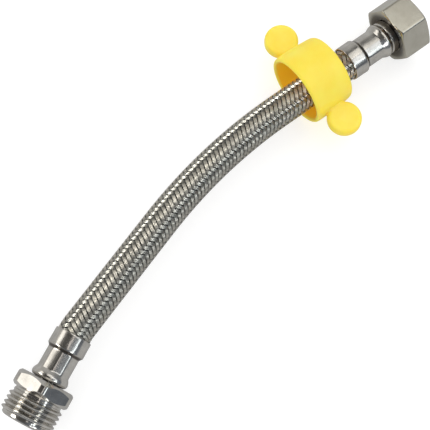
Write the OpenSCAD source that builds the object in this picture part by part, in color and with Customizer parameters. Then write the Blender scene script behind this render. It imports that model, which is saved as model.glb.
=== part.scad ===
// Braided tap supply line: threaded male end, crimped ferrules, woven sleeve, union nut and a loose
// ring wrench. Millimetres, +Z up, the hose lies in the XY plane.
// Origin: centre of the male end face. +X: from the male end into the line.

/* [Male fitting] */
// outside diameter of the G1/2 pipe thread
thread_d = 20.955; // [12:0.005:34]
// thread pitch, 14 threads per inch
thread_pitch = 1.814; // [1:0.001:2.4]
// diameter over the thread roots
thread_root_d = 18.631; // [10:0.001:31]
// ridges on the male end
male_turns = 5; // [3:1:8]
// distance from the end face to the hexagon
male_stub_l = 10.8; // [8:0.1:20]
// width across the flats of the fixed hexagon
male_hex_af = 22; // [18:0.5:30]
// thickness of the fixed hexagon
male_hex_l = 6; // [4:0.1:12]
// turn of the fixed hexagon about its axis, in degrees
male_hex_turn = 10.9; // [0:0.1:60]
// waterway diameter at the threaded end
male_bore_d = 11; // [6:0.1:14]

/* [Hose] */
// outside diameter over the braid
braid_d = 13.2; // [10:0.1:20]
// thickness of the woven layer
braid_t = 0.6; // [0.4:0.05:1]
// bore of the rubber tube
tube_bore_d = 8; // [6:0.1:12]
// waterway through both barbed tails
tail_bore_d = 5.8; // [4:0.1:7]
// short bend beside the male ferrule, in degrees
bend_a = 8.6; // [0:0.1:30]
// centre-line radius of that bend
bend_a_r = 20; // [20:1:200]
// straight run between the bends
run_l = 49.4; // [10:0.1:400]
// long bend, in degrees
bend_b = 17.5; // [0:0.1:60]
// centre-line radius of the long bend
bend_b_r = 213; // [60:1:600]
// straight run before the female ferrule
lead_l = 33.9; // [20:0.1:200]

/* [Ferrules] */
// overall length of a ferrule
ferrule_l = 18.9; // [14:0.1:30]
// largest diameter of the rounded bead
bead_d = 14.5; // [12:0.1:20]
// diameter of the crimped waist
waist_d = 12.76; // [11:0.02:18]
// diameter of the flared mouth
flare_d = 14.5; // [12:0.1:20]
// wall thickness
ferrule_t = 0.5; // [0.3:0.05:1]

/* [Union nut] */
// width across the flats
nut_af = 22; // [20:0.5:32]
// overall length
nut_l = 12.6; // [10:0.1:20]
// gap from the female ferrule to the nut with the nut fully forward
nut_gap = 2.3; // [1.5:0.1:6]
// turn of the nut about its axis, in degrees
nut_turn = 2.2; // [-30:0.1:30]
// travel of the nut along its stem
nut_float = 1.2; // [0.5:0.1:3]
// gasket outside diameter
gasket_d = 18.4; // [16:0.1:22]
// gasket bore
gasket_bore_d = 11; // [8:0.1:14]
// gasket thickness
gasket_t = 1.8; // [1:0.1:3]

/* [Ring wrench] */
// outside diameter at the hose side
ring_d = 30; // [26:0.1:40]
// outside diameter at the nut side
ring_nose_d = 28.6; // [26:0.1:38]
// overall length
ring_l = 18; // [12:0.1:30]
// bore over the hose
ring_bore_d = 26; // [22:0.1:34]
// width across the flats of the twelve-point socket
socket_af = 22.6; // [20:0.1:32]
// socket depth
socket_l = 4.5; // [3:0.1:10]
// diameter of the inner shoulder behind the socket
shoulder_d = 21.6; // [18:0.1:28]
// diameter of each ear
ear_d = 13.8; // [8:0.1:20]
// thickness of each ear
ear_t = 5; // [3:0.1:8]
// distance from the ring axis to an ear centre
ear_reach = 20.6; // [16:0.1:30]
// hose-side rim to the female ferrule's mouth
ring_back = 23.6; // [5:0.1:60]
// sideways rest offset of the loose ring
ring_off = 2.64; // [0:0.01:5]

/* [Hidden] */
$fn = 64;
hose_sides = 24;
steel = [0.70, 0.69, 0.66];
bright = [0.74, 0.73, 0.70];
weave = [0.60, 0.59, 0.54];
rubber = [0.07, 0.07, 0.07];
yellow = [0.95, 0.80, 0.22];
clear = 0.02;
crest_w = 0.3;
flank_w = (thread_pitch - 2 * crest_w) / 2;
tr = thread_d / 2;
rr = thread_root_d / 2;
first_crest = 1.45;
hex_x1 = male_stub_l + male_hex_l;
fer_x0 = hex_x1 + 0.2;
fer_x1 = fer_x0 + ferrule_l;
bead_r = bead_d / 2;
waist_r = waist_d / 2;
flare_r = flare_d / 2;
braid_r = braid_d / 2;
tube_r = braid_r - braid_t - clear;
bore_r = tube_bore_d / 2;
tail_r = bore_r;
barb_r = tail_r + 0.28;
pinch_r = waist_r - ferrule_t - clear;
tube_pinch_r = pinch_r - 0.5;
// hose stations, measured from a ferrule's closed end
cut_v = 1.7;
pinch_v0 = 4.2;
pinch_v1 = 11.4;
open_v = 13.8;
lead_v = ferrule_l + 1;
// the route: straight, bend a, straight, bend b, straight
ax = fer_x0 + lead_v;
b0x = ax + bend_a_r * sin(bend_a);
b0y = -bend_a_r * (1 - cos(bend_a));
b1x = b0x + run_l * cos(bend_a);
b1y = b0y - run_l * sin(bend_a);
turn = bend_a + bend_b;
b2x = b1x + bend_b_r * (sin(turn) - sin(bend_a));
b2y = b1y - bend_b_r * (cos(bend_a) - cos(turn));
fx = b2x + lead_l * cos(turn);
fy = b2y - lead_l * sin(turn);
// stations on the female end, measured from the ferrule's mouth
nut_t0 = ferrule_l + nut_gap;
nut_wall = 2;
flange_t0 = nut_t0 + nut_wall + 0.03;
flange_t1 = flange_t0 + 1.7;
gasket_t0 = flange_t1 + nut_float + 0.05;
nut_thread_v = gasket_t0 + gasket_t + 0.12 - nut_t0;
nut_turns = 3;
nut_hex_r = nut_af / 2 / cos(30);

module lathe_x(p) {
  rotate([0, 90, 0])
    rotate_extrude()
      polygon(p);
}

module tube_x(ro, ri, l) {
  lathe_x([[ri, 0], [ro, 0], [ro, l], [ri, l]]);
}

// the frame of the female end: +X along its axis, towards the nut
module female_frame() {
  translate([fx, fy, 0])
    rotate([0, 0, -turn])
      children();
}

// the frame of a ferrule's closed end: +X towards the hose
module male_seat() {
  translate([fer_x0, 0, 0])
    children();
}

module female_seat() {
  female_frame()
    translate([ferrule_l, 0, 0])
      rotate([0, 0, 180])
        children();
}

// a tube swept along stations of [x, y, heading, outer radius, inner radius]
module swept_tube(st) {
  n = hose_sides;
  m = len(st);
  points = [for (s = st) each [for (r = [s[3], s[4]]) each [for (j = [0 : n - 1])
    [s[0] - r * cos(j * 360 / n) * sin(s[2]),
     s[1] + r * cos(j * 360 / n) * cos(s[2]),
     r * sin(j * 360 / n)]]]];
  faces = [for (j = [0 : n - 1]) let (k = (j + 1) % n, e = (m - 1) * 2 * n) each concat(
    [for (i = [0 : m - 2]) let (o = i * 2 * n, q = o + 2 * n) each [
      [o + j, q + j, q + k, o + k],
      [o + n + j, o + n + k, q + n + k, q + n + j]]],
    [[j, k, n + k, n + j], [e + j, e + n + j, e + n + k, e + k]])];
  polyhedron(points = points, faces = faces, convexity = 10);
}

// stations of the hose: male end, short bend, run, long bend, female end
function male_st(v, ro, ri) = [fer_x0 + v, 0, 0, ro, ri];
function female_st(v, ro, ri) = [
  fx + (ferrule_l - v) * cos(turn), fy - (ferrule_l - v) * sin(turn), -turn, ro, ri];
function bend_st(x, y, h, r, a, ro, ri) = [
  x + r * (sin(h + a) - sin(h)), y - r * (cos(h) - cos(h + a)), -h - a, ro, ri];
function free_run(ro, ri) = concat(
  [for (i = [0 : 3]) bend_st(ax, 0, 0, bend_a_r, bend_a * i / 3, ro, ri)],
  [for (i = [1 : 3]) [b0x + run_l * i / 4 * cos(bend_a), b0y - run_l * i / 4 * sin(bend_a),
    -bend_a, ro, ri]],
  [for (i = [0 : 10]) bend_st(b1x, b1y, bend_a, bend_b_r, bend_b * i / 10, ro, ri)],
  [for (i = [1 : 2]) [b2x + lead_l * i / 3 * cos(turn), b2y - lead_l * i / 3 * sin(turn),
    -turn, ro, ri]]);

// the outline of a crimped ferrule: bead, waist and flared mouth
function ferrule_outside(o) = [
  [bead_r - 1.0 - o, 0],
  [bead_r - 0.45 - o, 0.35],
  [bead_r - 0.1 - o, 0.9],
  [bead_r - o, 1.5],
  [bead_r - 0.12 - o, 2.2],
  [bead_r - 0.45 - o, 2.95],
  [waist_r + 0.1 - o, 3.6],
  [waist_r - o, 4.1],
  [waist_r - o, 11.5],
  [waist_r + 0.14 - o, 11.9],
  [flare_r - 0.25 - o, 12.8],
  [flare_r - 0.05 - o, 13.3],
  [flare_r - o, 13.8],
  [flare_r - o, ferrule_l - 0.4],
  [flare_r - 0.12 - o, ferrule_l]
];

function flipped(p) = [for (i = [len(p) - 1 : -1 : 0]) p[i]];

module ferrule() {
  outer = ferrule_outside(0);
  inner = [for (q = ferrule_outside(ferrule_t)) if (q[1] > 0.6) q];
  lathe_x(concat([[5.02, 0]], outer, flipped(inner), [[bead_r - 0.95, 0.6], [5.02, 0.6]]));
}

// a barbed tail along +X from the ferrule's closed end
module barbed_tail() {
  barbs = 5;
  step = 3;
  lathe_x(concat(
    [[tail_bore_d / 2, -0.2], [5, -0.2], [5, 1], [tail_r, 1.4]],
    [for (i = [0 : barbs - 1]) each [
      [tail_r, 2.2 + i * step],
      [barb_r, 2.3 + i * step],
      [tail_r - 0.05, 2.2 + (i + 0.85) * step]]],
    [[tail_r - 0.5, 17.6], [tail_bore_d / 2, 17.6]]));
}

// a hexagon along +X with turned chamfers, corner towards +Z
module turned_hex(af, l, rim0, dl0, rim1, dl1) {
  far = af / 2 / cos(30) + 0.2;
  intersection() {
    rotate([0, 90, 0])
      cylinder(r = af / 2 / cos(30), h = l, $fn = 6);
    lathe_x([[0, 0], [rim0, 0], [far, dl0], [far, l - dl1], [rim1, l], [0, l]]);
  }
}

module male_fitting() {
  color(steel) {
    difference() {
      union() {
        lathe_x(concat(
          [[0, 0], [rr - 0.55, 0], [rr, 0.54]],
          [for (i = [0 : male_turns - 1]) each [
            [rr, first_crest + i * thread_pitch - crest_w / 2 - flank_w],
            [tr, first_crest + i * thread_pitch - crest_w / 2],
            [tr, first_crest + i * thread_pitch + crest_w / 2],
            [rr, first_crest + i * thread_pitch + crest_w / 2 + flank_w]]],
          [[rr - 0.15, male_stub_l - 0.9], [rr - 0.15, male_stub_l + 1], [0, male_stub_l + 1]]));
        translate([male_stub_l, 0, 0])
          rotate([male_hex_turn, 0, 0])
            turned_hex(male_hex_af, male_hex_l, male_hex_af / 2 - 0.75, 2.3,
              male_hex_af / 2 - 0.75, 2.3);
        translate([hex_x1 - 1, 0, 0])
          cylinder_x(5, 1.1);
      }
      translate([-1, 0, 0])
        cylinder_x(male_bore_d / 2, 10);
      translate([8.99, 0, 0])
        lathe_x([[0, 0], [male_bore_d / 2, 0], [tail_bore_d / 2, 2.6], [0, 2.6]]);
      translate([11, 0, 0])
        cylinder_x(tail_bore_d / 2, 8);
    }
    male_seat()
      barbed_tail();
  }
}

module cylinder_x(r, l) {
  rotate([0, 90, 0])
    cylinder(r = r, h = l);
}

module male_ferrule() {
  color(bright)
    male_seat()
      ferrule();
}

module female_ferrule() {
  color(bright)
    female_seat()
      ferrule();
}

// the pinched ends of the tube and the braid inside a ferrule, as [station, outer, inner]
tube_end = [[cut_v, tube_r - 0.3, bore_r], [cut_v + 0.5, tube_r - 0.1, bore_r],
  [pinch_v0, tube_pinch_r, bore_r], [pinch_v1, tube_pinch_r, bore_r], [open_v, tube_r, bore_r],
  [ferrule_l, tube_r, bore_r]];
braid_end = [[pinch_v0, pinch_r, tube_pinch_r + clear], [pinch_v1, pinch_r, tube_pinch_r + clear],
  [open_v, braid_r, tube_r + clear], [ferrule_l, braid_r, tube_r + clear]];

module hose_layer(end, ro, ri) {
  swept_tube(concat(
    [for (q = end) male_st(q[0], q[1], q[2])],
    free_run(ro, ri),
    [for (q = flipped(end)) female_st(q[0], q[1], q[2])]));
}

module inner_tube() {
  color(rubber)
    hose_layer(tube_end, tube_r, bore_r);
}

module braid_sleeve() {
  color(weave)
    hose_layer(braid_end, braid_r, tube_r + clear);
}

module female_stem() {
  color(steel) {
    female_seat()
      barbed_tail();
    female_frame()
      lathe_x([[tail_bore_d / 2, ferrule_l + 0.15], [6.4, ferrule_l + 0.15],
        [6.9, ferrule_l + 0.6], [6.9, flange_t0], [8.9, flange_t0], [8.9, flange_t1 - 0.3],
        [8.6, flange_t1], [4.4, flange_t1], [tail_bore_d / 2, flange_t1 - 1.5]]);
  }
}

module nut_gasket() {
  color(rubber)
    female_frame()
      translate([gasket_t0, 0, 0])
        tube_x(gasket_d / 2, gasket_bore_d / 2, gasket_t);
}

// the nut's inside from its rear face: dish, stem hole, chamber and ridged thread
module nut_cavity() {
  v0 = nut_thread_v;
  lathe_x(concat(
    [[0, -1], [10.2, -1], [10.2, 0], [8, 0.7], [7.25, 0.7], [7.25, nut_wall],
      [10, nut_wall], [10, v0 - 0.3], [rr, v0]],
    [for (i = [0 : nut_turns - 1]) each [
      [rr, v0 + crest_w + i * thread_pitch],
      [tr, v0 + crest_w + flank_w + i * thread_pitch],
      [tr, v0 + 2 * crest_w + flank_w + i * thread_pitch],
      [rr, v0 + thread_pitch + i * thread_pitch]]],
    [[rr, nut_l - 0.2], [rr + 0.3, nut_l], [rr + 0.3, nut_l + 1], [0, nut_l + 1]]));
}

module union_nut() {
  color(steel)
    female_frame()
      translate([nut_t0, 0, 0])
        difference() {
          rotate([30 - nut_turn, 0, 0])
            turned_hex(nut_af, nut_l, nut_hex_r - 0.5, 0.55, nut_af / 2 - 0.1, 1.4);
          nut_cavity();
        }
}

module ear(side) {
  translate([8.7, side * ear_reach, 0])
    difference() {
      rotate_extrude()
        polygon([[0, -ear_t / 2], [ear_d / 2 - 1.4, -ear_t / 2], [ear_d / 2 - 0.5, -ear_t / 2 + 0.5],
          [ear_d / 2, -ear_t / 2 + 1.5], [ear_d / 2, ear_t / 2 - 1.5],
          [ear_d / 2 - 0.5, ear_t / 2 - 0.5], [ear_d / 2 - 1.4, ear_t / 2], [0, ear_t / 2]]);
      translate([0, 0, ear_t / 2 + 23.5])
        sphere(r = 24, $fn = 128);
      translate([0, 0, -ear_t / 2 - 23.5])
        sphere(r = 24, $fn = 128);
    }
}

module wrench_ring() {
  ri = ring_bore_d / 2;
  seat_u = ring_l - socket_l;
  color(yellow)
    female_frame()
      translate([-ring_back, ring_off, 0])
        difference() {
          union() {
            lathe_x([[0, 0], [ring_d / 2 - 0.7, 0], [ring_d / 2 - 0.2, 0.25], [ring_d / 2, 0.8],
              [ring_d / 2, 8], [ring_nose_d / 2, ring_l - 1.6], [ring_nose_d / 2 - 0.25, ring_l - 0.6],
              [ring_nose_d / 2 - 0.7, ring_l], [0, ring_l]]);
            ear(1);
            ear(-1);
          }
          lathe_x([[0, -1], [ri + 0.6, -1], [ri + 0.6, 0], [ri, 0.6], [ri, seat_u - 1.5],
            [shoulder_d / 2, seat_u - 1.5], [shoulder_d / 2, seat_u + 0.5], [0, seat_u + 0.5]]);
          for (a = [0, 30])
            translate([seat_u, 0, 0])
              rotate([a - nut_turn, 0, 0])
                rotate([0, 90, 0])
                  cylinder(r = socket_af / 2 / cos(30), h = socket_l + 1, $fn = 6);
        }
}

male_fitting();
male_ferrule();
inner_tube();
braid_sleeve();
female_ferrule();
female_stem();
nut_gasket();
union_nut();
wrench_ring();
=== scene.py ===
"""Looks of a braided supply line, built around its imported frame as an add-on with one operator a piece.
Shapes are worked out in millimetres, in their own frame, and put in place in metres by placed()."""

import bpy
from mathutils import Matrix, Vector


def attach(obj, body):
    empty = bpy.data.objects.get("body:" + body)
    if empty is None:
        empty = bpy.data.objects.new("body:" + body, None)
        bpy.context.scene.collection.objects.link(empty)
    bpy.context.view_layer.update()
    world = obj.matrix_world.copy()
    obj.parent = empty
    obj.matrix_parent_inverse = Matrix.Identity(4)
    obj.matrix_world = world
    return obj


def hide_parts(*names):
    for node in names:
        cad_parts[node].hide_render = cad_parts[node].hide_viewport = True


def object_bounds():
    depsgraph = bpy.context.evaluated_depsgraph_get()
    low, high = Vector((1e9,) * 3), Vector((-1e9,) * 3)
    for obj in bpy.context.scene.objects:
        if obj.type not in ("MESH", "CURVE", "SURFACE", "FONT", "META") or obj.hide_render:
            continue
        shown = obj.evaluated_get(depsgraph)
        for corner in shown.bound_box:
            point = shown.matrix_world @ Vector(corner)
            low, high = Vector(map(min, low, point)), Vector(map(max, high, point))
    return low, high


bl_info = {
    "name": "Braided supply line",
    "version": (1, 0, 0),
    "blender": (4, 5, 0),
    "location": "View3D > Sidebar > Supply line",
    "description": "Woven hose, crimped ferrules, threaded fittings and a loose ring wrench",
    "category": "Object",
}

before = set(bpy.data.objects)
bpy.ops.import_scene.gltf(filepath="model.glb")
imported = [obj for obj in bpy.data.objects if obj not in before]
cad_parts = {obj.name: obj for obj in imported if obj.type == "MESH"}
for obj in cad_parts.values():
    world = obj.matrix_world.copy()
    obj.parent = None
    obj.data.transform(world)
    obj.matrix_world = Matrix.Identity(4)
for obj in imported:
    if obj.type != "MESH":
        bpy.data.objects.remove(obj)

import math
import random

import bmesh
import bpy
from bpy.props import FloatProperty, FloatVectorProperty, IntProperty, PointerProperty
from mathutils import Matrix, Vector

CAD_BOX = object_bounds()
MM = 0.001
TURN = 2 * math.pi

# The hose's centre line, from the closed end of one ferrule to that of the other: the length of each
# stretch in millimetres, and how far it bends, in radians, as in the part's source.
SEAT_X = 17.0
FERRULE_L = 18.9
FIRST_BEND, FIRST_BEND_R = math.radians(8.6), 20.0
LONG_BEND, LONG_BEND_R = math.radians(17.5), 213.0
ROUTE = [(FERRULE_L + 1, 0.0), (FIRST_BEND * FIRST_BEND_R, FIRST_BEND), (49.4, 0.0),
         (LONG_BEND * LONG_BEND_R, LONG_BEND), (33.9 + FERRULE_L, 0.0)]
ROUTE_L = sum(length for length, _ in ROUTE)

# Outside radius of the sleeve where a ferrule pinches it and where it is free, and how far from the
# closed end of the ferrule it starts to widen and has its free radius.
PINCHED_R, FREE_R = 5.86, 6.6
PINCH_END, FREE_FROM = 11.4, 13.8

# Root and crest of the pipe thread, and the places of nut and ring from the female ferrule's mouth.
ROOT_R, CREST_R = 18.631 / 2, 20.955 / 2
THREAD_FADE = 0.5
NUT_T0 = 21.2
RING_T0, RING_SIDE = -23.6, 2.64
NUT_TURN = math.radians(-2.2)

# colour of the painted shade laid into the ferrules' creases and round the union nut's neck
PAINTED_SHADE = (0.075, 0.060, 0.048)
# colour of the painted shade where a ribbon of the sleeve dips under the others
PAINTED_UNDER_SHADE = (0.07, 0.069, 0.064)
ACCENTED = "accented"


# ---------------------------------------------------------------- places and shapes

def route(s):
    """Point and heading of the hose's centre line, s millimetres from its start."""
    x, y, heading = SEAT_X, 0.0, 0.0
    for length, bend in ROUTE:
        part = min(s, length)
        if bend:
            radius = length / bend
            swept = part / radius
            x += radius * (math.sin(heading + swept) - math.sin(heading))
            y -= radius * (math.cos(heading) - math.cos(heading + swept))
            heading += swept
        else:
            x += part * math.cos(heading)
            y -= part * math.sin(heading)
        s -= part
        if s <= 0:
            break
    return Vector((x, y, 0.0)), -heading


def smoothstep(x):
    """Runs from 0 to 1 as x does, with a soft start and end."""
    x = max(0.0, min(1.0, x))
    return x * x * (3 - 2 * x)


def sleeve_r(s):
    """Outside radius of the woven sleeve, which both ferrules pinch."""
    depth = min(s, ROUTE_L - s)
    return PINCHED_R + smoothstep((depth - PINCH_END) / (FREE_FROM - PINCH_END)) * (FREE_R - PINCHED_R)


MOUTH, HEADING = route(ROUTE_L - FERRULE_L)
LINE_END = Matrix.Translation(MOUTH) @ Matrix.Rotation(HEADING, 4, "Z")
MALE_SEAT = Matrix.Translation((SEAT_X, 0, 0))
FEMALE_SEAT = LINE_END @ Matrix.Translation((FERRULE_L, 0, 0)) @ Matrix.Rotation(math.pi, 4, "Z")


def along(t, side=0.0, up=0.0):
    """A place in the female end's frame: t from the ferrule's mouth towards the nut."""
    return LINE_END @ Matrix.Translation((t, side, up))


def lathe(profile, sides, closed=False):
    """Points of (along, radius) spun once round the X axis."""
    bm = bmesh.new()
    verts = [bm.verts.new((x, 0.0, r)) for x, r in profile]
    edges = [bm.edges.new(pair) for pair in zip(verts, verts[1:])]
    if closed:
        edges.append(bm.edges.new((verts[-1], verts[0])))
    bmesh.ops.spin(bm, geom=verts + edges, cent=(0, 0, 0), axis=(1, 0, 0), angle=TURN, steps=sides,
                   use_merge=True, use_duplicate=False)
    bmesh.ops.remove_doubles(bm, verts=bm.verts, dist=1e-4)
    bmesh.ops.recalc_face_normals(bm, faces=bm.faces)
    return bm


def eased(points, steps=3):
    """The same outline with its corners eased into a smooth line through every point."""
    out = []
    for i in range(len(points) - 1):
        a, b, c, d = (Vector(points[max(0, min(len(points) - 1, i + k))]) for k in (-1, 0, 1, 2))
        for k in range(steps):
            t = k / steps
            out.append(tuple(0.5 * (2 * b + (c - a) * t + (2 * a - 5 * b + 4 * c - d) * t * t
                                    + (3 * b - a - 3 * c + d) * t ** 3)))
    return out + [tuple(points[-1])]


def polygon_r(angle, flat_r, count):
    """Distance to a regular polygon's edge, whose first flat faces angle 0."""
    step = TURN / count
    return flat_r / math.cos((angle + step / 2) % step - step / 2)


def soft_min(a, b, blend):
    """The smaller of two radii, with a rounded change from one to the other."""
    near = max(blend - abs(a - b), 0.0) / blend
    return min(a, b) - near * near * blend / 4


def rounded_hexagon(angle, flat_r, blend=0.32):
    """Distance to a hexagon's edge with rounded corners, whose first flat faces angle 0."""
    step = TURN / 6
    inside = (angle + step / 2) % step - step / 2
    beside = step - abs(inside)
    return soft_min(flat_r / math.cos(inside), flat_r / math.cos(beside), blend)


def mark(piece, label, amount, place):
    """Gives the points an attribute from 0 to 1, by their place along X and distance from it."""
    back = (Matrix.Scale(MM, 4) @ place).inverted()
    mesh = piece.data
    spots = [back @ v.co for v in mesh.vertices]
    values = [amount(spot.x, math.hypot(spot.y, spot.z)) for spot in spots]
    mesh.attributes.new(label, "FLOAT", "POINT").data.foreach_set("value", values)


def roll(vert):
    """A vertex's angle round the X axis by the right-hand rule, from +Z."""
    return math.atan2(-vert.co.y, vert.co.z)


def set_radius(vert, radius):
    """Moves a vertex to this distance from the X axis."""
    old = math.hypot(vert.co.y, vert.co.z)
    vert.co.y *= radius / old
    vert.co.z *= radius / old


def rounded_tooth(pitch, root, crest, steps=10):
    """One tooth of a pipe thread, rounded at crest and root, with its foot sunk past the root."""
    half, foot, fullness = 0.475 * pitch, 0.3, 0.6
    sink = root - foot if crest > root else root + foot
    arch = []
    for i in range(steps + 1):
        x = half * (2 * i / steps - 1)
        wave = 0.5 + 0.5 * math.cos(TURN * x / pitch)
        arch.append((x, root + (crest - root) * wave ** fullness))
    return [(-half, sink), *arch, (half, sink)]


def thread(start, end, profile, pitch, sides=72):
    """A closed ridge swept along a right-hand helix round X, which sinks to nothing at both ends."""
    bm = bmesh.new()
    verts = [bm.verts.new((start + x, 0.0, r)) for x, r in profile]
    edges = [bm.edges.new(pair) for pair in zip(verts, verts[1:] + verts[:1])]
    turns = (end - start) / pitch
    steps = round(turns * sides)
    made = bmesh.ops.spin(bm, geom=verts + edges, cent=(0, 0, 0), axis=(1, 0, 0), angle=turns * TURN,
                          steps=steps, dvec=(pitch * turns / steps, 0, 0), use_duplicate=False)
    last = [g for g in made["geom_last"] if isinstance(g, bmesh.types.BMEdge)]
    bmesh.ops.contextual_create(bm, geom=edges)
    bmesh.ops.contextual_create(bm, geom=last)
    base = profile[0][1]
    for v in bm.verts:
        lap = roll(v) / TURN
        centre = start + pitch * (lap + round((v.co.x - start) / pitch - lap))
        share = smoothstep((centre - start) / THREAD_FADE) * smoothstep((end - centre) / THREAD_FADE)
        set_radius(v, base + (math.hypot(v.co.y, v.co.z) - base) * share)
    bmesh.ops.recalc_face_normals(bm, faces=bm.faces)
    return bm


def placed(bm, name, place, material, sharp=30.0):
    """A mesh object from a millimetre bmesh, put in place in metres."""
    bmesh.ops.transform(bm, matrix=Matrix.Scale(MM, 4) @ place, verts=bm.verts)
    mesh = bpy.data.meshes.new(name)
    bm.to_mesh(mesh)
    bm.free()
    piece = bpy.data.objects.new(name, mesh)
    bpy.context.scene.collection.objects.link(piece)
    mesh.materials.append(material)
    shade(mesh, sharp)
    return piece


def shade(mesh, sharp):
    """Smooth shading that breaks at edges sharper than this many degrees."""
    mesh.polygons.foreach_set("use_smooth", [True] * len(mesh.polygons))
    mesh.set_sharp_from_angle(angle=math.radians(sharp))


def evaluated_mesh(thing):
    """A new mesh of an object as its modifiers or curve settings make it."""
    bpy.context.view_layer.update()
    graph = bpy.context.evaluated_depsgraph_get()
    return bpy.data.meshes.new_from_object(thing.evaluated_get(graph))


def settle(piece, sharp):
    """Applies the piece's modifiers to its mesh."""
    made = evaluated_mesh(piece)
    piece.modifiers.clear()
    old, piece.data = piece.data, made
    bpy.data.meshes.remove(old)
    made.name = piece.name
    shade(made, sharp)


def fuse(piece, other, sharp=30.0):
    """piece becomes one shell with other, which goes."""
    union = piece.modifiers.new("Fuse", "BOOLEAN")
    union.operation, union.solver, union.object = "UNION", "EXACT", other
    settle(piece, sharp)
    bpy.data.objects.remove(other)


def fitted(piece, body, slot, *nodes, accented=False):
    """The piece rides on its body and stands for the CAD nodes. slot is not used."""
    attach(piece, body)
    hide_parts(*nodes)
    if accented:
        bpy.data.collections[ACCENTED].objects.link(piece)


# ---------------------------------------------------------------- finishes

def tint(red, green, blue):
    """A colour as it looks on screen, from 0 to 255, as the renderer counts it."""
    return tuple((c / 255 / 12.92 if c <= 10.3 else ((c / 255 + 0.055) / 1.055) ** 2.4)
                 for c in (red, green, blue))


def add(tree, kind, inputs=None, **fields):
    """A new node with its fields set, and its sockets set or linked."""
    made = tree.nodes.new(kind)
    for key, value in fields.items():
        setattr(made, key, value)
    for key, value in (inputs or {}).items():
        if isinstance(value, bpy.types.NodeSocket):
            tree.links.new(value, made.inputs[key])
        else:
            made.inputs[key].default_value = value
    return made


def group(name, takes, gives):
    """A shader node group with named float or vector inputs and outputs."""
    tree = bpy.data.node_groups.new(name, "ShaderNodeTree")
    for label, kind, value in takes:
        socket = tree.interface.new_socket(name=label, in_out="INPUT", socket_type="NodeSocket" + kind)
        if value is not None:
            socket.default_value = value
    for label, kind in gives:
        tree.interface.new_socket(name=label, in_out="OUTPUT", socket_type="NodeSocket" + kind)
    return tree, tree.nodes.new("NodeGroupInput").outputs, tree.nodes.new("NodeGroupOutput")


def surface_group():
    """Broad tone, fine grain and long scratches, each from 0 to 1, on coordinates in millimetres."""
    name = "Metal surface"
    if name in bpy.data.node_groups:
        return bpy.data.node_groups[name]
    tree, takes, gives = group(
        name,
        [("Vector", "Vector", None), ("Tone Scale", "Float", 0.3), ("Grain Scale", "Float", 8.0),
         ("Scratch Scale", "Float", 3.0), ("Scratch Stretch", "Vector", (0.08, 1.0, 1.0))],
        [("Tone", "Float"), ("Grain", "Float"), ("Scratches", "Float")])
    tone = add(tree, "ShaderNodeTexNoise",
               {"Vector": takes["Vector"], "Scale": takes["Tone Scale"], "Detail": 3.0})
    grain = add(tree, "ShaderNodeTexNoise",
                {"Vector": takes["Vector"], "Scale": takes["Grain Scale"], "Detail": 5.0})
    drawn = add(tree, "ShaderNodeVectorMath", {0: takes["Vector"], 1: takes["Scratch Stretch"]},
                operation="MULTIPLY")
    scratch = add(tree, "ShaderNodeTexNoise",
                  {"Vector": drawn.outputs[0], "Scale": takes["Scratch Scale"], "Detail": 6.0,
                   "Roughness": 0.7})
    for label, source in (("Tone", tone), ("Grain", grain), ("Scratches", scratch)):
        spread = add(tree, "ShaderNodeMapRange", {"Value": source.outputs["Fac"], 1: 0.3, 2: 0.7})
        tree.links.new(spread.outputs[0], gives.inputs[label])
    return tree


def turned_group():
    """Fine tool rings across the X axis, as a height from 0 to 1."""
    name = "Turned rings"
    if name in bpy.data.node_groups:
        return bpy.data.node_groups[name]
    tree, takes, gives = group(name, [("Vector", "Vector", None), ("Rings per mm", "Float", 3.0)],
                               [("Height", "Float")])
    flat = add(tree, "ShaderNodeVectorMath", {0: takes["Vector"], 1: (1.0, 0.02, 0.02)},
               operation="MULTIPLY")
    rings = add(tree, "ShaderNodeTexNoise",
                {"Vector": flat.outputs[0], "Scale": takes["Rings per mm"], "Detail": 4.0})
    tree.links.new(rings.outputs["Fac"], gives.inputs["Height"])
    return tree


def painted_shade_group():
    """How much painted shade lies at a point: a smooth amount, broken up by the grain."""
    name = "Grime"
    if name in bpy.data.node_groups:
        return bpy.data.node_groups[name]
    tree, takes, gives = group(name, [("Amount", "Float", 0.0), ("Grain", "Float", 0.5)],
                               [("Mask", "Float")])
    broken = add(tree, "ShaderNodeMapRange", {"Value": takes["Grain"], 3: 0.8, 4: 1.0})
    mask = add(tree, "ShaderNodeMath", {0: takes["Amount"], 1: broken.outputs[0]}, operation="MULTIPLY")
    tree.links.new(mask.outputs[0], gives.inputs["Mask"])
    return tree


def in_mm(tree, place=Matrix()):
    """Object coordinates in millimetres in the frame of place."""
    back = place.inverted()
    read = add(tree, "ShaderNodeTexCoord")
    return add(tree, "ShaderNodeMapping",
               {"Vector": read.outputs["Object"], "Scale": (1 / MM,) * 3,
                "Rotation": tuple(back.to_euler()), "Location": tuple(back.to_translation())}).outputs[0]


def attribute(tree, label):
    """The value of one of the piece's own attributes."""
    return add(tree, "ShaderNodeAttribute", attribute_name=label).outputs["Fac"]


def start_material(name):
    material = bpy.data.materials.new(name)
    material.use_nodes = True
    tree = material.node_tree
    return material, tree, tree.nodes["Principled BSDF"]


def between(tree, share, low, high):
    """A value that goes from low to high as share goes from 0 to 1."""
    return add(tree, "ShaderNodeMapRange", {"Value": share, 3: low, 4: high}).outputs[0]


def mixed(tree, share, low, high):
    """A colour that goes from low to high. Each is a colour or another node's socket."""
    low, high = (c if isinstance(c, bpy.types.NodeSocket) else (*c, 1) for c in (low, high))
    return add(tree, "ShaderNodeMix", {0: share, 6: low, 7: high}, data_type="RGBA").outputs[2]


def joined(tree, operation, a, b):
    """One maths step on two values."""
    return add(tree, "ShaderNodeMath", {0: a, 1: b}, operation=operation).outputs[0]


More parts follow.
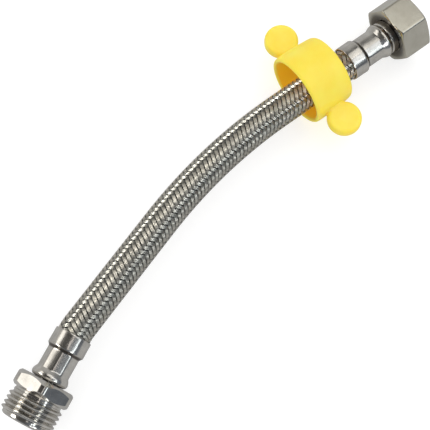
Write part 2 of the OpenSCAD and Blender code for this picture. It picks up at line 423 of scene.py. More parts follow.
def finish_with(tree, shader, colour, roughness, height, strength, depth):
    """Feeds the shader its colour, roughness and bump, depth millimetres deep."""
    relief = add(tree, "ShaderNodeBump", {"Strength": strength, "Distance": depth * MM, "Height": height})
    tree.links.new(colour, shader.inputs["Base Color"])
    tree.links.new(roughness, shader.inputs["Roughness"])
    tree.links.new(relief.outputs[0], shader.inputs["Normal"])


def steel(name, place, low, high, rough, grain=8.0, scratch=3.0, stretch=(0.08, 1.0, 1.0),
          bump=0.06, rings=0.0):
    """Bare metal with a broad tone, a fine grain and drawn or turned marks. Painted shade, a dark colour,
    lies where the piece's marked shade attribute is high."""
    material, tree, shader = start_material(name)
    spot = in_mm(tree, place)
    marks = add(tree, "ShaderNodeGroup", {"Vector": spot, "Grain Scale": grain, "Scratch Scale": scratch,
                                          "Scratch Stretch": stretch}, node_tree=surface_group()).outputs
    clean = mixed(tree, marks["Tone"], low, high)
    # painted shade: the colour darkens where the piece's marked shade attribute is high
    painted_mask = add(tree, "ShaderNodeGroup", {"Amount": attribute(tree, "stain"), "Grain": marks["Grain"]},
                  node_tree=painted_shade_group()).outputs["Mask"]
    worn = joined(tree, "MULTIPLY", marks["Scratches"], marks["Grain"])
    height = marks["Scratches"]
    if rings:
        turned = add(tree, "ShaderNodeGroup", {"Vector": spot, "Rings per mm": rings},
                     node_tree=turned_group()).outputs["Height"]
        height = joined(tree, "ADD", height, turned)
    finish_with(tree, shader, mixed(tree, painted_mask, clean, PAINTED_SHADE), between(tree, worn, *rough), height,
                bump, 0.04)
    shader.inputs["Metallic"].default_value = 1.0
    return material


def rubber(name, place, low, high):
    """Matt black rubber with a dusty bloom."""
    material, tree, shader = start_material(name)
    marks = add(tree, "ShaderNodeGroup",
                {"Vector": in_mm(tree, place), "Scratch Stretch": (1.0, 1.0, 1.0)},
                node_tree=surface_group()).outputs
    finish_with(tree, shader, mixed(tree, marks["Tone"], low, high),
                between(tree, marks["Grain"], 0.55, 0.8), marks["Grain"], 0.2, 0.05)
    return material


def wire_steel(name, low, high, rough):
    """Bright drawn wire. The tone attribute makes each wire a little different, and the rise attribute
    tells where a ribbon dips under the others, where its colour is darkened as painted shade."""
    material, tree, shader = start_material(name)
    marks = add(tree, "ShaderNodeGroup", {"Vector": in_mm(tree), "Tone Scale": 0.5},
                node_tree=surface_group()).outputs
    bright = mixed(tree, joined(tree, "MULTIPLY", marks["Tone"], attribute(tree, "tone")), low, high)
    # painted shade on the parts of a ribbon that dip under the others
    unshaded = add(tree, "ShaderNodeMapRange", {"Value": attribute(tree, "rise"), 1: 0.05, 2: 0.85})
    finish_with(tree, shader, mixed(tree, unshaded.outputs[0], PAINTED_UNDER_SHADE, bright),
                between(tree, marks["Grain"], *rough), marks["Scratches"], 0.1, 0.02)
    shader.inputs["Metallic"].default_value = 1.0
    return material


def ring_plastic(name, place, low, high, deep):
    """Soft translucent plastic with faint moulding bands and a pebbled grain. The inside attribute is
    high on the inner wall, where light through the wall is painted as a deeper colour and a faint glow."""
    material, tree, shader = start_material(name)
    marks = add(tree, "ShaderNodeGroup",
                {"Vector": in_mm(tree, place), "Tone Scale": 0.12, "Grain Scale": 3.0,
                 "Scratch Scale": 1.4, "Scratch Stretch": (1.0, 0.06, 0.06)},
                node_tree=surface_group()).outputs
    inside = attribute(tree, "inside")
    # painted light: the inner wall takes the deeper tone of light through the wall
    skin = mixed(tree, inside, mixed(tree, marks["Tone"], low, high), deep)
    finish_with(tree, shader, skin, between(tree, marks["Grain"], 0.36, 0.5),
                joined(tree, "ADD", marks["Scratches"], marks["Grain"]), 0.12, 0.06)
    # painted light: a faint glow on the inner wall, standing in for light through the wall
    glow = mixed(tree, inside, (0.0, 0.0, 0.0), tuple(0.14 * c for c in deep))
    tree.links.new(glow, shader.inputs["Emission Color"])
    for label, value in (("Emission Strength", 1.0), ("Subsurface Weight", 0.5),
                         ("Subsurface Radius", (1.0, 0.6, 0.1)), ("Subsurface Scale", 0.003),
                         ("Coat Weight", 0.12), ("Coat Roughness", 0.3)):
        shader.inputs[label].default_value = value
    return material


# ---------------------------------------------------------------- settings

class StageSettings(bpy.types.PropertyGroup):
    lens: FloatProperty(name="Lens", description="Focal length of the camera in millimetres",
                        default=74.23, min=1)
    key: FloatProperty(name="Key light", description="Power of the large soft light", default=0.52)
    weave: FloatProperty(name="Weave light", description="Power of the light that brings out the weave",
                         default=2.5)
    far: FloatProperty(name="Far light", description="Power of the same on the other side", default=1.2)
    top: FloatProperty(name="Top light", description="Power of the overhead light", default=0.6)
    thin: FloatProperty(name="Thin light", description="Power of the narrow strip over the line",
                        default=0.12)
    end: FloatProperty(name="End light", description="Power of the light over the nut's end",
                       default=0.26)
    side: FloatProperty(name="Side light", description="Power of the narrow light", default=0.3)
    glow: FloatProperty(name="Floor glow", description="Light that the floor gives off", default=0.6)
    floor: FloatVectorProperty(name="Floor", description="Colour of the floor", size=3, subtype="COLOR",
                               default=(0.5, 0.5, 0.5), min=0, max=1)


class HoseSettings(bpy.types.PropertyGroup):
    wire_d: FloatProperty(name="Wire", description="Diameter of one wire of the sleeve",
                          default=0.00026, unit="LENGTH", precision=5)
    wires: IntProperty(name="Wires", description="Wires side by side in a ribbon", default=5, min=1,
                       max=9)
    ribbons: IntProperty(name="Ribbons", description="Ribbons laid in each direction", default=12, min=4,
                         max=24)
    lay: FloatProperty(name="Lay", description="Length of hose in which a ribbon goes round once",
                       default=0.024, unit="LENGTH")
    start_turn: FloatProperty(name="Start", description="Turn of the weave round the hose",
                              default=math.radians(51.8), subtype="ANGLE")
    colour: FloatVectorProperty(name="Wire colour", description="Bright tone of the wire", size=3,
                                subtype="COLOR", default=tint(243, 240, 230), min=0, max=1)
    dark: FloatVectorProperty(name="Wire shade", description="Dull tone of the wire", size=3,
                              subtype="COLOR", default=tint(208, 204, 194), min=0, max=1)
    # the other lay is the same wire: its darker tones are painted shade for how the light falls on it
    shaded_lay_colour: FloatVectorProperty(name="Second wire colour", description="Bright tone of the other lay",
                                    size=3, subtype="COLOR", default=tint(228, 227, 219), min=0, max=1)
    shaded_lay_dark: FloatVectorProperty(name="Second wire shade", description="Dull tone of the other lay",
                                  size=3, subtype="COLOR", default=tint(194, 192, 184), min=0, max=1)


class FittingSettings(bpy.types.PropertyGroup):
    crimps: IntProperty(name="Crimps", description="Flats that the crimping jaws leave on a ferrule",
                        default=10, min=4, max=16)
    crimp_share: FloatProperty(name="Crimp depth", description="How flat the crimped waist is",
                               default=0.6, subtype="FACTOR", min=0, max=1)
    hex_af: FloatProperty(name="Hexagon", description="Width across the flats of both hexagons",
                          default=0.022, unit="LENGTH")
    pitch: FloatProperty(name="Thread pitch", description="Advance of the pipe thread in one turn",
                         default=0.001814, unit="LENGTH", precision=6)
    colour: FloatVectorProperty(name="Steel colour", description="Bright tone of the fittings", size=3,
                                subtype="COLOR", default=tint(227, 224, 218), min=0, max=1)
    dark: FloatVectorProperty(name="Steel shade", description="Dull tone of the fittings", size=3,
                              subtype="COLOR", default=tint(202, 199, 193), min=0, max=1)
    nut_colour: FloatVectorProperty(name="Nut colour", description="Bright tone of the union nut", size=3,
                                    subtype="COLOR", default=tint(214, 211, 199), min=0, max=1)
    nut_dark: FloatVectorProperty(name="Nut shade", description="Dull tone of the union nut", size=3,
                                  subtype="COLOR", default=tint(204, 200, 187), min=0, max=1)


class RingSettings(bpy.types.PropertyGroup):
    voxel: FloatProperty(name="Grain of the blend", description="Mesh size of the ring", default=0.00032,
                         unit="LENGTH", precision=5)
    colour: FloatVectorProperty(name="Ring colour", description="Light tone of the plastic", size=3,
                                subtype="COLOR", default=tint(255, 231, 90), min=0, max=1)
    dark: FloatVectorProperty(name="Ring shade", description="Deep tone of the plastic", size=3,
                              subtype="COLOR", default=tint(254, 222, 66), min=0, max=1)
    # the inside tone is painted light, the colour of light that comes through the wall
    deep: FloatVectorProperty(name="Ring inside", description="Tone where light comes through", size=3,
                              subtype="COLOR", default=tint(250, 200, 40), min=0, max=1)


# ---------------------------------------------------------------- stage

CAMERA_AT = Vector((0.02193, -0.06633, 0.32803))
AIM = Vector((0.10104, -0.02462, 0.0))
LIGHT_REACH = 0.75

# Each light's name, the direction that it stands in, its length along the line and its width in metres,
# and its colour. The gloss lights show in what the metal mirrors only, and the accent lights fall on the
# hose and its fixed metal only.
LIGHTS = [("key", (0.08, 0.77, 0.64), (0.5, 0.25), (1.0, 0.97, 0.92)),
          ("weave", (-0.50, 0.67, 0.55), (0.36, 0.22), (1.0, 0.98, 0.93)),
          ("top", (0.42, -0.10, 0.90), (0.4, 0.5), (1.0, 0.98, 0.93)),
          ("thin", (0.0, -0.31, 0.95), (0.5, 0.05), (1.0, 0.93, 0.88)),
          ("end", (0.25, -0.59, 0.77), (0.3, 0.25), (0.97, 0.99, 1.0)),
          ("side", (0.0, -0.78, 0.62), (0.4, 0.1), (0.86, 0.95, 1.0)),
          ("far", (-0.50, -0.66, 0.56), (0.36, 0.16), (0.94, 0.98, 1.0))]
GLOSS_LIGHTS = ("weave", "far", "end")
ACCENT_LIGHTS = ("weave", "far")


class SUPPLY_OT_stage(bpy.types.Operator):
    """Camera, floor and soft studio light"""
    bl_idname = "supply_line.stage"
    bl_label = "Stage"

    def execute(self, context):
        scene, own = context.scene, context.scene.supply_stage
        camera = bpy.data.objects.new("camera", bpy.data.cameras.new("camera"))
        camera.data.lens, camera.data.sensor_width = own.lens, 36.0
        camera.data.clip_start = 0.01
        camera.location = CAMERA_AT
        camera.rotation_euler = (AIM - CAMERA_AT).to_track_quat("-Z", "Y").to_euler()
        scene.collection.objects.link(camera)
        scene.camera = camera
        scene.view_settings.view_transform = "Standard"

        bm = bmesh.new()
        bmesh.ops.create_grid(bm, x_segments=1, y_segments=1, size=3000.0)
        floor = placed(bm, "floor", Matrix.Translation((AIM.x / MM, AIM.y / MM, CAD_BOX[0].z / MM)),
                       self.floor_finish(own.floor, own.glow))

        # the later operators put the pieces that the accent lights fall on into this collection
        accented = bpy.data.collections.new(ACCENTED)
        for name, toward, size, colour in LIGHTS:
            lamp = self.soft_light(scene, name, Vector(toward), size, getattr(own, name), colour)
            lamp.visible_diffuse = name not in GLOSS_LIGHTS
            if name in ACCENT_LIGHTS:
                lamp.light_linking.receiver_collection = accented
        self.world(scene)
        return {"FINISHED"}

    def soft_light(self, scene, name, toward, size, power, colour):
        """A soft box that faces the middle of the line, its length along the X axis."""
        light = bpy.data.lights.new(name + "_light", "AREA")
        light.shape, light.size, light.size_y = "RECTANGLE", *size
        light.energy, light.color = power, colour
        lamp = bpy.data.objects.new(name + "_light", light)
        back = toward.normalized()
        across = back.cross(Vector((1, 0, 0))).normalized()
        facing = Matrix((across.cross(back), across, back)).transposed()
        lamp.matrix_world = Matrix.Translation(AIM + LIGHT_REACH * back) @ facing.to_4x4()
        scene.collection.objects.link(lamp)
        return lamp

    def floor_finish(self, colour, glow):
        """Pale matt floor, lit through from below, and dimmer in what the metal mirrors."""
        material, tree, shader = start_material("floor_paint")
        seen = add(tree, "ShaderNodeLightPath").outputs["Is Camera Ray"]
        dim = tuple(0.8 * c for c in colour)
        tree.links.new(mixed(tree, seen, dim, tuple(colour)), shader.inputs["Base Color"])
        shader.inputs["Emission Color"].default_value = (1, 1, 1, 1)
        matt = add(tree, "ShaderNodeLightPath").outputs["Is Diffuse Ray"]
        lit = joined(tree, "MAXIMUM", seen, matt)
        tree.links.new(between(tree, lit, 0.1 * glow, glow), shader.inputs["Emission Strength"])
        shader.inputs["Roughness"].default_value = 0.9
        shader.inputs["Specular IOR Level"].default_value = 0.0
        return material

    def world(self, scene):
        """Metal mirrors a bright side towards the key light, a dark far side and a darker hood overhead.
        Matt surfaces get an even light from all round, and the backdrop is white."""
        scene.world = bpy.data.worlds.new("studio")
        scene.world.use_nodes = True
        tree = scene.world.node_tree
        key_side = self.towards(tree, Vector((0.5, 0.8, 0.0)).normalized(), -0.7, 0.95)
        overhead = self.towards(tree, Vector((0.0, 0.27, 0.96)), 0.60, 0.92)
        sides = mixed(tree, key_side, (0.14, 0.155, 0.18), (0.47, 0.465, 0.45))
        mirrored = mixed(tree, overhead, sides, (0.07, 0.067, 0.064))
        path = add(tree, "ShaderNodeLightPath").outputs
        lit = mixed(tree, path["Is Diffuse Ray"], mirrored, (0.95, 0.95, 0.95))
        tree.links.new(mixed(tree, path["Is Camera Ray"], lit, (1.0, 1.0, 1.0)),
                       tree.nodes["Background"].inputs["Color"])
        tree.nodes["Background"].inputs["Strength"].default_value = 1.0

    def towards(self, tree, direction, start, end):
        """Goes softly from 0 to 1 as the view turns towards a direction."""
        look = add(tree, "ShaderNodeTexCoord").outputs["Generated"]
        share = add(tree, "ShaderNodeVectorMath", {0: look, 1: direction}, operation="DOT_PRODUCT")
        return add(tree, "ShaderNodeMapRange", {"Value": share.outputs["Value"], 1: start, 2: end},
                   interpolation_type="SMOOTHSTEP").outputs[0]


# ---------------------------------------------------------------- hose

class SUPPLY_OT_hose(bpy.types.Operator):
    """Woven wire sleeve over the rubber tube"""
    bl_idname = "supply_line.hose"
    bl_label = "Hose"

    SHEATH_FROM = 4.3
    STEP = 0.5
    MEAN_R = 6.3
    # of a wire's thickness: the pitch of wires side by side, and how deep a ribbon dips under another
    WIRE_PITCH, DIP = 1.02, 1.08
    # tones of the ribbons, and how far a wire's own tone may be from its ribbon's
    RIBBON_TONES, WIRE_TONE = (0.75, 1.0), 0.12

    def execute(self, context):
        own = context.scene.supply_hose
        # one wire in two copies: the second lay's colours are painted darker as shade
        finishes = {1: wire_steel("braid_wire_dim", own.shaded_lay_dark, own.shaded_lay_colour, (0.14, 0.24)),
                    -1: wire_steel("braid_wire_bright", own.dark, own.colour, (0.24, 0.36))}
        pieces = []
        for hand, letter in ((1, "a"), (-1, "b")):
            for half in range(2):
                ribbons = range(half * own.ribbons // 2, (half + 1) * own.ribbons // 2)
                pieces.append(self.ribbons(own, hand, ribbons, f"braid_{letter}{half + 1}",
                                           finishes[hand]))
        for piece in pieces:
            fitted(piece, "line", "braid_wire", "braid_sleeve", accented=True)
        self.declare(pieces)
        return {"FINISHED"}

    def declare(self, pieces):
        """Works out points along the whole sleeve, with the ends that both ferrules hold, and does
        nothing with them.
        """
        first, last = self.SHEATH_FROM, ROUTE_L - self.SHEATH_FROM
        count = 40
        path = [route(first + (last - first) * i / count)[0] * MM for i in range(count + 1)]

    def ribbons(self, own, hand, numbers, name, finish):
        """One curve with a spline for each wire of these ribbons, made a mesh."""
        wire = own.wire_d / MM
        curve = bpy.data.curves.new(name, "CURVE")
        curve.dimensions, curve.bevel_depth, curve.bevel_resolution = "3D", wire / 2 * MM, 1
        lifts = []
        for number in numbers:
            for k in range(own.wires):
                aside = (k - (own.wires - 1) / 2) * wire * self.WIRE_PITCH
                points, lift = self.wire_path(own, hand, number, aside)
                lifts.append(lift)
                spline = curve.splines.new("POLY")
                spline.points.add(len(points) - 1)
                spline.points.foreach_set("co", [c for p in points for c in (*(p * MM), 1.0)])
                spline.use_smooth = True
        drawn = bpy.data.objects.new(name, curve)
        bpy.context.scene.collection.objects.link(drawn)
        mesh = evaluated_mesh(drawn)
        bpy.data.objects.remove(drawn)
        mesh.name = name
        self.close_ends(mesh)
        mesh.polygons.foreach_set("use_smooth", [True] * len(mesh.polygons))
        # every point of a wire's centre line has the same number of vertices around it
        around = len(mesh.vertices) // sum(len(lift) for lift in lifts)
        tones = random.Random(20 + hand)
        tone, rise = [], []
        for index, lift in enumerate(lifts):
            if index % own.wires == 0:
                ribbon = tones.uniform(*self.RIBBON_TONES)
            shine = min(1.0, ribbon + tones.uniform(-self.WIRE_TONE, self.WIRE_TONE))
            for height in lift:
                tone += [shine] * around
                rise += [height] * around
        for label, values in (("tone", tone), ("rise", rise)):
            mesh.attributes.new(label, "FLOAT", "POINT").data.foreach_set("value", values)
        mesh.materials.clear()
        mesh.materials.append(finish)
        piece = bpy.data.objects.new(name, mesh)
        bpy.context.scene.collection.objects.link(piece)
        return piece

    def close_ends(self, mesh):
        """Closes the cut ends of the wires, and turns all faces outwards."""
        bm = bmesh.new()
        bm.from_mesh(mesh)
        bmesh.ops.holes_fill(bm, edges=[e for e in bm.edges if e.is_boundary], sides=0)
        bmesh.ops.recalc_face_normals(bm, faces=bm.faces)
        bm.to_mesh(mesh)
        bm.free()

    def wire_path(self, own, hand, number, aside):
        """Centre line of one wire, over two ribbons and under two, and how high it lies at each point."""
        cross = own.lay / MM / (2 * own.ribbons)
        step_turn = TURN / (2 * own.ribbons)
        wire = own.wire_d / MM
        slope = math.atan(TURN * self.MEAN_R / (own.lay / MM))
        ds, dturn = -hand * math.sin(slope) * aside, math.cos(slope) * aside / self.MEAN_R
        first, last = self.SHEATH_FROM, ROUTE_L - self.SHEATH_FROM
        count = int((last - first) / self.STEP)
        points, lifts = [], []
        for i in range(count + 1):
            s = first + (last - first) * i / count
            u = (s - ds) / cross
            angle = own.start_turn + hand * u * step_turn + number * 2 * step_turn + dturn
            # where it meets the ribbons of the other hand, counted in ribbons
            other = (angle - own.start_turn) / (2 * step_turn) + hand * (s / cross) / 2
            met = hand * (other - number)
            phase = met + 2 * number - (0.5 if hand > 0 else 1.5)
            lift = 1 - smoothstep(abs((phase + 2) % 4 - 2) - 0.5)
            lifts.append(lift)
            radius = sleeve_r(s) - wire / 2 - (1 - lift) * wire * self.DIP
            centre, heading = route(s)
            left, up = Vector((-math.sin(heading), math.cos(heading), 0.0)), Vector((0, 0, 1))
            points.append(centre + radius * (math.cos(angle) * left + math.sin(angle) * up))
        return points, lifts


# ---------------------------------------------------------------- fittings

class SUPPLY_OT_male_fitting(bpy.types.Operator):
    """Threaded male end with its fixed hexagon"""
    bl_idname = "supply_line.male_fitting"
    bl_label = "Male fitting"

    HEX_X0, HEX_X1, RIM, CORNER_R = 10.8, 16.8, 10.25, 12.2
    HEX_TURN = math.radians(10.9)
    CHAMFER = 0.868
    # the ring of points that becomes the hexagon stands this far in from its faces, at this radius
    HEX_IN, BLANK_R = 1.0, 12.0
    # the thread starts under a cone: its radius at the end face, and its growth in a millimetre
    START_R, START_SLOPE = 8.4, 1.25

    def execute(self, context):
        own = context.scene.supply_fitting
        finish = steel("male_steel", Matrix(), own.dark, own.colour, (0.12, 0.22), rings=3.0,
                       stretch=(1.0, 0.1, 0.1))
        flat = own.hex_af / MM / 2
        neck = ROOT_R - 0.15
        rings = [(0.0, 5.5), (0.0, 8.4), (0.12, 8.62), (0.54, ROOT_R - 0.12), (0.8, ROOT_R),
                 (5.0, ROOT_R), (9.7, ROOT_R), (9.9, neck), (self.HEX_X0 - 0.12, neck),
                 (self.HEX_X0, neck + 0.1), (self.HEX_X0, self.RIM),
                 (self.HEX_X0 + self.HEX_IN, self.BLANK_R), (self.HEX_X1 - self.HEX_IN, self.BLANK_R),
                 (self.HEX_X1, self.RIM), (self.HEX_X1, 5.2), (self.HEX_X1 + 0.1, 5.0), (17.6, 5.0),
                 (17.6, 4.0), (34.4, 4.0), (34.6, 3.7), (34.6, 2.9), (11.6, 2.9), (9.0, 5.5), (5.0, 5.5)]
        bm = lathe(rings, 96, closed=True)
        for v in bm.verts:
            if math.hypot(v.co.y, v.co.z) > self.BLANK_R - 0.1:
                radius = min(polygon_r(roll(v), flat, 6), self.CORNER_R)
                set_radius(v, radius)
                deep = self.CHAMFER * (radius - self.RIM)
                first = v.co.x < (self.HEX_X0 + self.HEX_X1) / 2
                v.co.x = self.HEX_X0 + deep if first else self.HEX_X1 - deep
        # the lathe starts at a flat, and the corner leans from +Z towards -Y
        turn = Matrix.Rotation(math.radians(30) + self.HEX_TURN, 4, "X")
        body = placed(bm, "male_fitting_body", turn, finish)
        tooth = rounded_tooth(own.pitch / MM, ROOT_R, CREST_R)
        ridge = thread(0.9, 9.75, tooth, own.pitch / MM)
        for v in ridge.verts:
            limit = self.START_R + v.co.x * self.START_SLOPE
            if math.hypot(v.co.y, v.co.z) > limit:
                set_radius(v, limit)
        fuse(body, placed(ridge, "ridge", Matrix(), finish))
        fitted(body, "line", "fitting_steel", "male_fitting", accented=True)
        return {"FINISHED"}


class SUPPLY_OT_ferrules(bpy.types.Operator):
    """Both crimped ferrules: rounded bead, pinched waist, flared mouth"""
    bl_idname = "supply_line.ferrules"
    bl_label = "Ferrules"

    OUTSIDE = [(0.0, 6.25), (0.35, 6.8), (0.9, 7.15), (1.5, 7.25), (2.2, 7.13), (2.95, 6.8), (3.6, 6.48),
               (4.3, 6.38), (7.0, 6.38), (9.5, 6.38), (11.2, 6.36), (11.7, 6.42), (12.2, 6.75),
               (12.7, 7.14), (13.4, 7.27), (16.0, 7.25), (18.5, 7.25), (18.9, 7.13)]
    WALL, BORE_R = 0.5, 5.02
    # of the radius: how far out a jaw's flat lies, and how faintly the flats go on over the mouth
    FLAT_AT, MOUTH_SHARE = 0.957, 0.22

    def execute(self, context):
        own = context.scene.supply_fitting
        for name, seat, turn in (("male_ferrule", MALE_SEAT, -14.0),
                                 ("female_ferrule", FEMALE_SEAT, 8.0)):
            finish = steel(name + "_steel", seat, own.dark, own.colour, (0.17, 0.3), scratch=2.0,
                           stretch=(0.12, 1.0, 1.0), bump=0.05)
            bm = lathe(self.outline(), 96, closed=True)
            for v in bm.verts:
                self.crimp(own, v)
            spun = seat @ Matrix.Rotation(math.radians(turn), 4, "X")
            piece = placed(bm, name + "_shell", spun, finish, sharp=40.0)
            # painted shade in the ferrule's creases, darkening its colour
            mark(piece, "stain", self.crease, spun)
            fitted(piece, "line", "ferrule_steel", name, accented=True)
        return {"FINISHED"}

    def outline(self):
        """The ferrule's section, out along its outside and back along its wall."""
        outer = eased(self.OUTSIDE)
        inner = [(x, r - self.WALL) for x, r in reversed(outer) if 0.8 < x < 18.75]
        return [(0.0, self.BORE_R), *outer, (FERRULE_L, 6.8), *inner, (0.62, 6.2), (0.6, self.BORE_R)]

    def crease(self, x, radius):
        """Painted shade in the step between waist and mouth, and at the closed end beside the hexagon."""
        step = smoothstep((x - 11.2) / 0.5) * (1 - smoothstep((x - 12.3) / 0.5))
        return max(step, 1 - smoothstep((x - 0.2) / 0.5))

    def crimp(self, own, v):
        """Presses the jaws' flats into the waist, and faintly into the mouth."""
        radius = math.hypot(v.co.y, v.co.z)
        if radius < self.BORE_R + 0.18:
            return
        waist = smoothstep((v.co.x - 3.3) / 0.8) * smoothstep((12.0 - v.co.x) / 0.7)
        mouth = smoothstep((v.co.x - 13.0) / 0.8) * self.MOUTH_SHARE
        flat = polygon_r(roll(v), radius * self.FLAT_AT, own.crimps)
        share = max(waist * own.crimp_share, mouth)
        set_radius(v, radius + (flat - radius) * share)


class SUPPLY_OT_union_nut(bpy.types.Operator):
    """Swivelling union nut with its inside thread"""
    bl_idname = "supply_line.union_nut"
    bl_label = "Union nut"

    LENGTH = 12.6
    # radius of the face, and how far in its rounded edge goes, at the neck and at the mouth
    REAR, FRONT = (10.3, 1.7), (10.85, 1.6)
    # the lathe's radius before the hexagon is formed, and that of the domes past the corners
    BLANK_R, DOME_R = 12.9, 13.2

    def execute(self, context):
        own = context.scene.supply_fitting
        finish = steel("nut_satin", along(NUT_T0), own.nut_dark, own.nut_colour, (0.19, 0.28),
                       grain=14.0, scratch=6.0, stretch=(1.0, 0.06, 0.06), bump=0.02)
        flat, length = own.hex_af / MM / 2, self.LENGTH
        steps = 36
        outer = [(length * (0.5 - 0.5 * math.cos(math.pi * i / steps)), self.BLANK_R)
                 for i in range(steps + 1)]
        rings = [(0.0, 9.3), *outer, (length, CREST_R + 0.35), (length - 0.5, CREST_R - 0.02),
                 (6.6, CREST_R - 0.02), (6.2, 10.0), (2.0, 10.0), (2.0, 7.25), (0.7, 7.25), (0.7, 8.0)]
        bm = lathe(rings, 192, closed=True)
        for v in bm.verts:
            if math.hypot(v.co.y, v.co.z) > self.BLANK_R - 0.1:
                dome = min(self.shoulder(v.co.x, *self.REAR), self.shoulder(length - v.co.x, *self.FRONT))
                set_radius(v, soft_min(dome, rounded_hexagon(roll(v), flat), 0.4))
        place = along(NUT_T0) @ Matrix.Rotation(NUT_TURN, 4, "X")
        body = placed(bm, "union_nut_body", place, finish, sharp=50.0)
        tooth = rounded_tooth(own.pitch / MM, CREST_R, ROOT_R)
        ridge = thread(7.4, 11.2, tooth, own.pitch / MM)
        fuse(body, placed(ridge, "ridge", place, finish), sharp=50.0)
        # painted shade on the rear face round the neck
        mark(body, "stain", self.neck_shade, place)
        fitted(body, "nut", "nut_steel", "union_nut")
        return {"FINISHED"}

    def neck_shade(self, x, radius):
        """Painted shade on the rear face, thick beside the neck and fading outwards."""
        return 1 - smoothstep((radius - 8.6) / 2.6) if x < 1.2 else 0.0

    def shoulder(self, deep, rim, reach):
        """Radius of the rounded end of the nut, deep millimetres in from its face."""
        share = max(0.0, min(1.0, deep / reach))
        return rim + (self.DOME_R - rim) * math.sqrt(1 - (1 - share) ** 2)


class SUPPLY_OT_ring_wrench(bpy.types.Operator):
    """Loose plastic ring wrench with two round ears"""
    bl_idname = "supply_line.ring_wrench"
    bl_label = "Ring wrench"

    LENGTH, SOCKET_L, SOCKET_AF, SOCKET_R = 18.0, 4.5, 22.6, 12.6
    EAR_R, EAR_T, EAR_AT, EAR_REACH = 6.9, 5.0, 8.7, 20.6

    def execute(self, context):
        own = context.scene.supply_ring
        place = along(RING_T0, RING_SIDE)
        finish = ring_plastic("ring_plastic_finish", place, own.dark, own.colour, own.deep)
        bm = self.hoop()
        for side in (1, -1):
            self.ear(bm, side)
        ring = placed(bm, "wrench_ring_body", place, finish)
        blend = ring.modifiers.new("Blend", "REMESH")
        blend.mode, blend.voxel_size, blend.use_smooth_shade = "VOXEL", own.voxel, True
        relax = ring.modifiers.new("Relax", "SMOOTH")
        relax.factor, relax.iterations = 0.5, 8
        settle(ring, 60.0)
        mark(ring, "inside", self.inner_wall, place)
        fitted(ring, "wrench", "ring_plastic", "wrench_ring")
        return {"FINISHED"}

    def inner_wall(self, x, radius):
        """1 on the inner wall and 0 outside, with a soft change over the rim."""
        return smoothstep((13.5 - radius) / 0.6) * smoothstep((x - 0.2) / 0.8)

    def hoop(self):
        """The ring itself, with a twelve-point socket for the nut in its far end."""
        seat = self.LENGTH - self.SOCKET_L
        rings = [(0.0, 13.8), (0.0, 14.2), (0.3, 14.65), (0.9, 14.95), (1.8, 15.0), (8.0, 15.0),
                 (15.8, 14.4), (17.2, 14.15), (17.8, 13.8), (self.LENGTH, 13.5),
                 (self.LENGTH, self.SOCKET_R), (seat + 0.02, self.SOCKET_R), (seat, 10.8),
                 (seat - 1.5, 10.8), (seat - 1.5, 13.0), (0.9, 13.0), (0.25, 13.3)]
        bm = lathe(rings, 144, closed=True)
        for v in bm.verts:
            if abs(math.hypot(v.co.y, v.co.z) - self.SOCKET_R) < 1e-3:
                half = self.SOCKET_AF / 2
                angle = roll(v)
                set_radius(v, max(polygon_r(angle, half, 6), polygon_r(angle + TURN / 12, half, 6)))
        bmesh.ops.rotate(bm, cent=(0, 0, 0), matrix=Matrix.Rotation(NUT_TURN, 3, "X"), verts=bm.verts)
        return bm

    def ear(self, bm, side):
        """A round ear, dished on both faces, lying in the ring's middle plane."""
        half, reach = self.EAR_T / 2, self.EAR_R
        face = [(0.0, 0.42), (1.5, 0.4), (3.0, 0.28), (4.2, 0.12), (5.2, 0.02), (5.8, 0.05), (6.3, 0.3),
                (6.65, 0.75), (reach, 1.5)]
        rings = [(deep - half, r) for r, deep in face] + [(half - deep, r) for r, deep in reversed(face)]
        made = lathe(rings, 64)
        up = Matrix.Rotation(-TURN / 4, 4, "Y")
        bmesh.ops.transform(made, matrix=Matrix.Translation((self.EAR_AT, side * self.EAR_REACH, 0)) @ up,
                            verts=made.verts)
        mesh = bpy.data.meshes.new("ear")
        made.to_mesh(mesh)
        made.free()
        bm.from_mesh(mesh)
        bpy.data.meshes.remove(mesh)


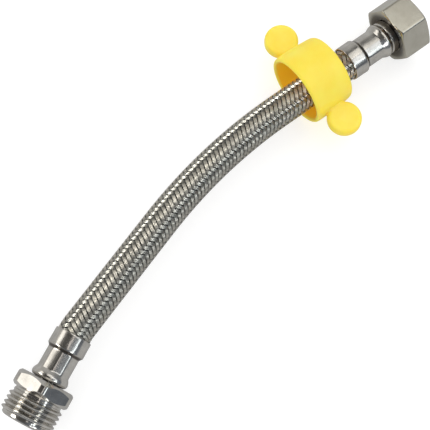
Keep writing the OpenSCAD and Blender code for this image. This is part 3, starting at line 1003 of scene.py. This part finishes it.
class SUPPLY_OT_inner_parts(bpy.types.Operator):
    """Finishes of the tube, the stem and the gasket, whose shapes come from the frame"""
    bl_idname = "supply_line.inner_parts"
    bl_label = "Inner parts"

    def execute(self, context):
        own = context.scene.supply_fitting
        place = along(0.0)
        finishes = {
            "inner_tube": rubber("tube_rubber_finish", Matrix(), tint(22, 21, 20), tint(40, 38, 36)),
            "nut_gasket": rubber("gasket_rubber_finish", place, tint(26, 26, 26), tint(44, 43, 42)),
            "female_stem": steel("stem_steel", place, own.dark, own.colour, (0.14, 0.28), rings=3.0,
                                 stretch=(1.0, 0.1, 0.1)),
        }
        for name, finish in finishes.items():
            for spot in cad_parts[name].material_slots:
                spot.material = finish
        return {"FINISHED"}


# ---------------------------------------------------------------- panel and run

OPERATORS = (SUPPLY_OT_stage, SUPPLY_OT_hose, SUPPLY_OT_male_fitting, SUPPLY_OT_ferrules,
             SUPPLY_OT_union_nut, SUPPLY_OT_ring_wrench, SUPPLY_OT_inner_parts)
SETTINGS = {"supply_stage": StageSettings, "supply_hose": HoseSettings,
            "supply_fitting": FittingSettings, "supply_ring": RingSettings}


class SUPPLY_PT_panel(bpy.types.Panel):
    """Every step and setting of the supply line"""
    bl_idname = "SUPPLY_PT_panel"
    bl_label = "Supply line"
    bl_space_type = "VIEW_3D"
    bl_region_type = "UI"
    bl_category = "Supply line"

    def draw(self, context):
        for kind in OPERATORS:
            self.layout.operator(kind.bl_idname)
        for name, kind in SETTINGS.items():
            box = self.layout.box()
            for key in kind.__annotations__:
                box.prop(getattr(context.scene, name), key)


CLASSES = (*SETTINGS.values(), *OPERATORS, SUPPLY_PT_panel)


def register():
    for kind in CLASSES:
        bpy.utils.register_class(kind)
    for name, kind in SETTINGS.items():
        setattr(bpy.types.Scene, name, PointerProperty(type=kind))


def unregister():
    for name in SETTINGS:
        delattr(bpy.types.Scene, name)
    for kind in reversed(CLASSES):
        bpy.utils.unregister_class(kind)


def main():
    register()
    for kind in OPERATORS:
        place, name = kind.bl_idname.split(".")
        if getattr(getattr(bpy.ops, place), name)() != {"FINISHED"}:
            raise RuntimeError(f"{kind.bl_label} wasn't finished")


if __name__ == "__main__":
    main()
